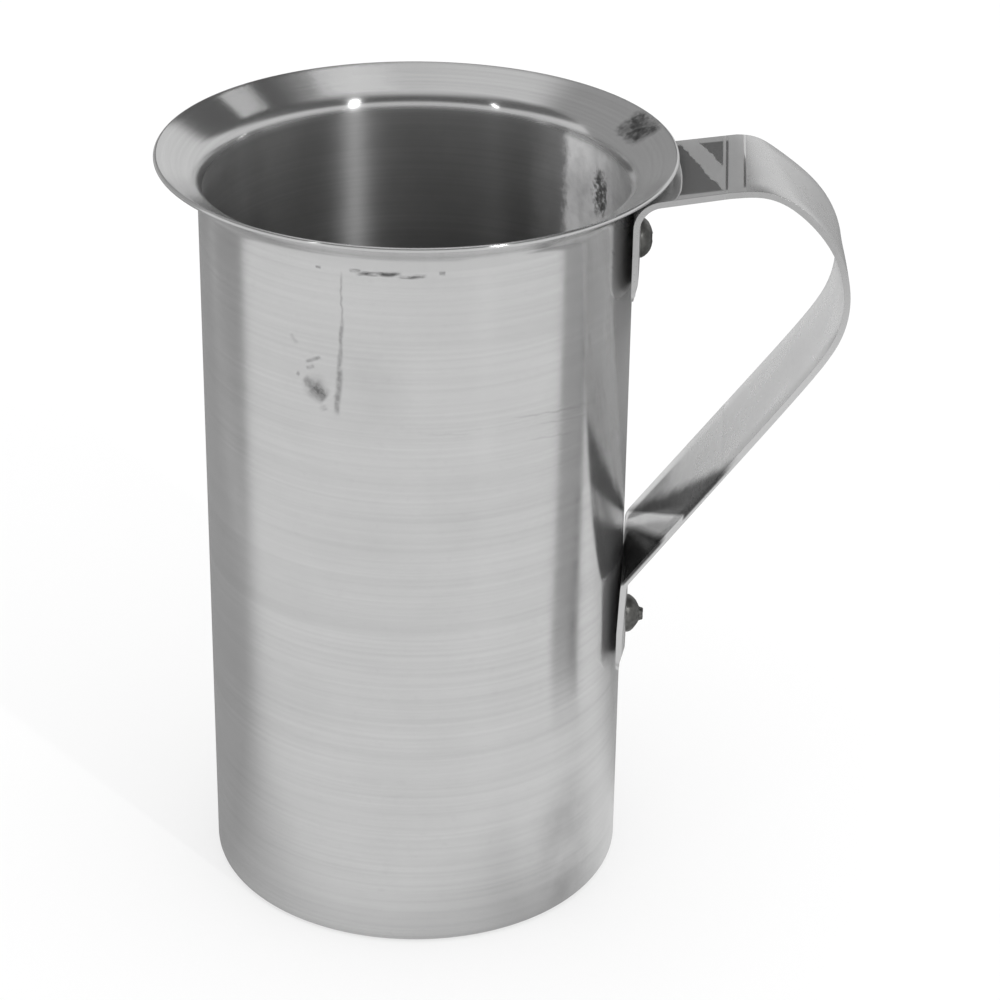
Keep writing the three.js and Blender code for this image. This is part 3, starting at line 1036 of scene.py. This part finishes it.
def make_world(group):
    world = bpy.data.worlds.new("studio")
    bpy.context.scene.world = world
    world.use_nodes = True
    tree = world.node_tree
    background = tree.nodes["Background"]
    surround = add(tree, "ShaderNodeGroup", node_tree=group)
    direction = add(tree, "ShaderNodeTexCoord").outputs["Generated"]
    tree.links.new(direction, surround.inputs["Direction"])
    path = add(tree, "ShaderNodeLightPath").outputs
    strength = blend(tree, path["Is Glossy Ray"], ROOM_LIGHT, surround.outputs["Brightness"])
    strength = blend(tree, path["Is Camera Ray"], strength, 1.0)
    background.inputs["Color"].default_value = (1.0, 1.0, 1.0, 1.0)
    tree.links.new(strength, background.inputs["Strength"])


def mix_shaders(tree, factor, first, second):
    node = add(tree, "ShaderNodeMixShader")
    for socket, value in zip(node.inputs, (factor, first.outputs[0], second.outputs[0])):
        tree.links.new(value, socket)
    return node


def make_floor():
    start_piece()
    bpy.ops.mesh.primitive_circle_add(
        vertices=96, radius=12.0, fill_type="NGON", location=(0.0, 0.0, -0.0001)
    )
    floor = name_piece("studio_floor")
    material = bpy.data.materials.new("pale_floor")
    material.use_nodes = True
    floor.data.materials.append(material)
    tree = material.node_tree
    tree.nodes.remove(tree.nodes["Principled BSDF"])
    paper = add(tree, "ShaderNodeBsdfDiffuse", Color=(0.85, 0.85, 0.85, 1.0))
    white = add(tree, "ShaderNodeEmission", Strength=1.0)
    reflected = add(tree, "ShaderNodeEmission")
    tree.links.new(floor_brightness(tree), reflected.inputs["Strength"])
    path = add(tree, "ShaderNodeLightPath").outputs
    to_camera = mix_shaders(tree, times(tree, path["Is Camera Ray"], 0.6), paper, white)
    to_metal = mix_shaders(tree, path["Is Glossy Ray"], to_camera, reflected)
    tree.links.new(to_metal.outputs[0], tree.nodes["Material Output"].inputs["Surface"])


def make_lamp(name):
    """A soft upright panel aimed at the jug."""
    bearing, elevation, power = LAMPS[name]
    data = bpy.data.lights.new(name, "AREA")
    data.shape = "RECTANGLE"
    data.size = LAMP_WIDTH
    data.size_y = LAMP_HEIGHT
    data.energy = power
    lamp = bpy.data.objects.new(name, data)
    bpy.context.scene.collection.objects.link(lamp)
    target = Vector((0.0, 0.0, BODY_HEIGHT / 2))
    place = target + Vector(direction_at(bearing, elevation)) * LAMP_DISTANCE
    turn = (target - place).to_track_quat("-Z", "Y")
    lamp.matrix_world = Matrix.Translation(place) @ turn.to_matrix().to_4x4()


make_camera()
round_the_axis = round_the_axis_group()
spin_rings = spin_rings_group(round_the_axis)
fine_scratches = scratches_group()
handling_smudges = smudges_group()
make_vessel(
    vessel_outside(round_the_axis, spin_rings, handling_smudges),
    vessel_inside(round_the_axis, spin_rings, handling_smudges),
)
make_strap(strap_metal(fine_scratches, handling_smudges))
dulled_rivet = rivet_metal(fine_scratches, handling_smudges)
for rivet_node in RIVETS:
    make_rivet(rivet_node, dulled_rivet)
make_world(surround_group())
make_floor()
for lamp_name in LAMPS:
    make_lamp(lamp_name)
bpy.context.scene.view_settings.view_transform = "Standard"
